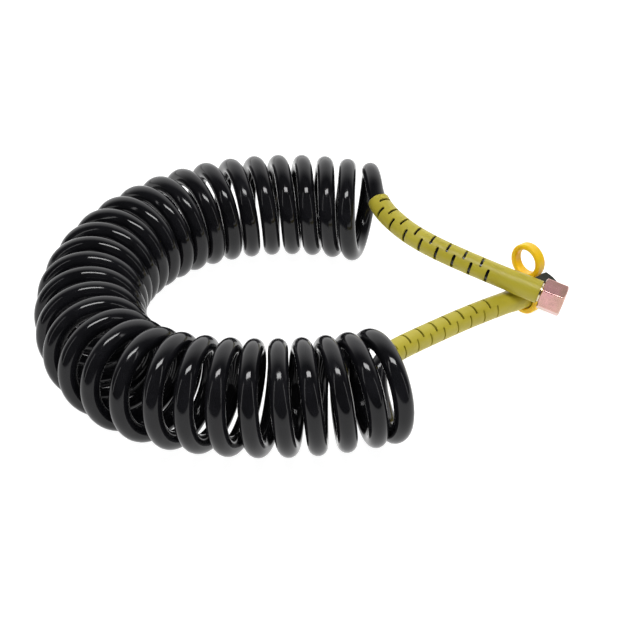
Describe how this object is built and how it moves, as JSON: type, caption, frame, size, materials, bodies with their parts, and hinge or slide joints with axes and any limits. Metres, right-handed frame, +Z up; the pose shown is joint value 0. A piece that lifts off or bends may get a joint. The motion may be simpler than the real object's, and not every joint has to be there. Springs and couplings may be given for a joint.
{
  "type": "coiled air brake hose",
  "caption": "Springy coiled black air hose bent into a C, with yellow anti-kink sleeves, swivel union nuts and a double-eye clip.",
  "frame": {"origin": "centre of the object's bounding box in plan, at ground level", "axes": "+Z up from the ground the coil lies on; +X from the back of the C towards its open side and the two nuts; +Y towards the arm of the coil that the upper tail leaves"},
  "size_m": [0.3654, 0.305, 0.075],
  "materials": {
    "hose_black": "smooth black nylon or polyurethane tube with a clear gloss",
    "sleeve_yellow": "soft lemon yellow thermoplastic, satin",
    "clip_yellow": "moulded orange-yellow plastic, satin",
    "nut_iridescent": "zinc plated steel with an iridescent yellow to pink passivation",
    "nut_dark": "dark olive-black coated steel, slightly shiny",
    "steel_zinc": "bright zinc plated steel",
    "spring_steel": "plain drawn wire",
    "seal_rubber": "black nitrile rubber"
  },
  "bodies": {
    "hose": {"coil": "hose_black", "upper_tail": "hose_black", "upper_sleeve": "sleeve_yellow", "upper_ferrule": "steel_zinc", "upper_stem": "steel_zinc", "upper_hose_seal": "seal_rubber", "upper_face_seal": "seal_rubber", "upper_thrust_wire": "spring_steel", "lower_tail": "hose_black", "lower_sleeve": "sleeve_yellow", "lower_ferrule": "steel_zinc", "lower_stem": "steel_zinc", "lower_hose_seal": "seal_rubber", "lower_face_seal": "seal_rubber", "lower_thrust_wire": "spring_steel"},
    "upper_union_nut": {"upper_nut": "nut_iridescent"},
    "lower_union_nut": {"lower_nut": "nut_dark"},
    "clip": {"ring_clip": "clip_yellow"}
  },
  "joints": [
    {"name": "upper_nut_spin", "type": "hinge", "parent": "hose", "child": "upper_union_nut", "pos_m": [0.17173, 0.00761, 0.02769], "axis": [0.9131, -0.3486, -0.2114], "continuous": true},
    {"name": "lower_nut_spin", "type": "hinge", "parent": "hose", "child": "lower_union_nut", "pos_m": [0.16787, 0.0357, 0.01432], "axis": [0.8169, 0.5701, -0.0875], "continuous": true},
    {"name": "clip_swing", "type": "hinge", "parent": "hose", "child": "clip", "pos_m": [0.15574, 0.02723, 0.01562], "axis": [-0.8169, -0.5701, 0.0875], "range_deg": [0, 85]}
  ]
}
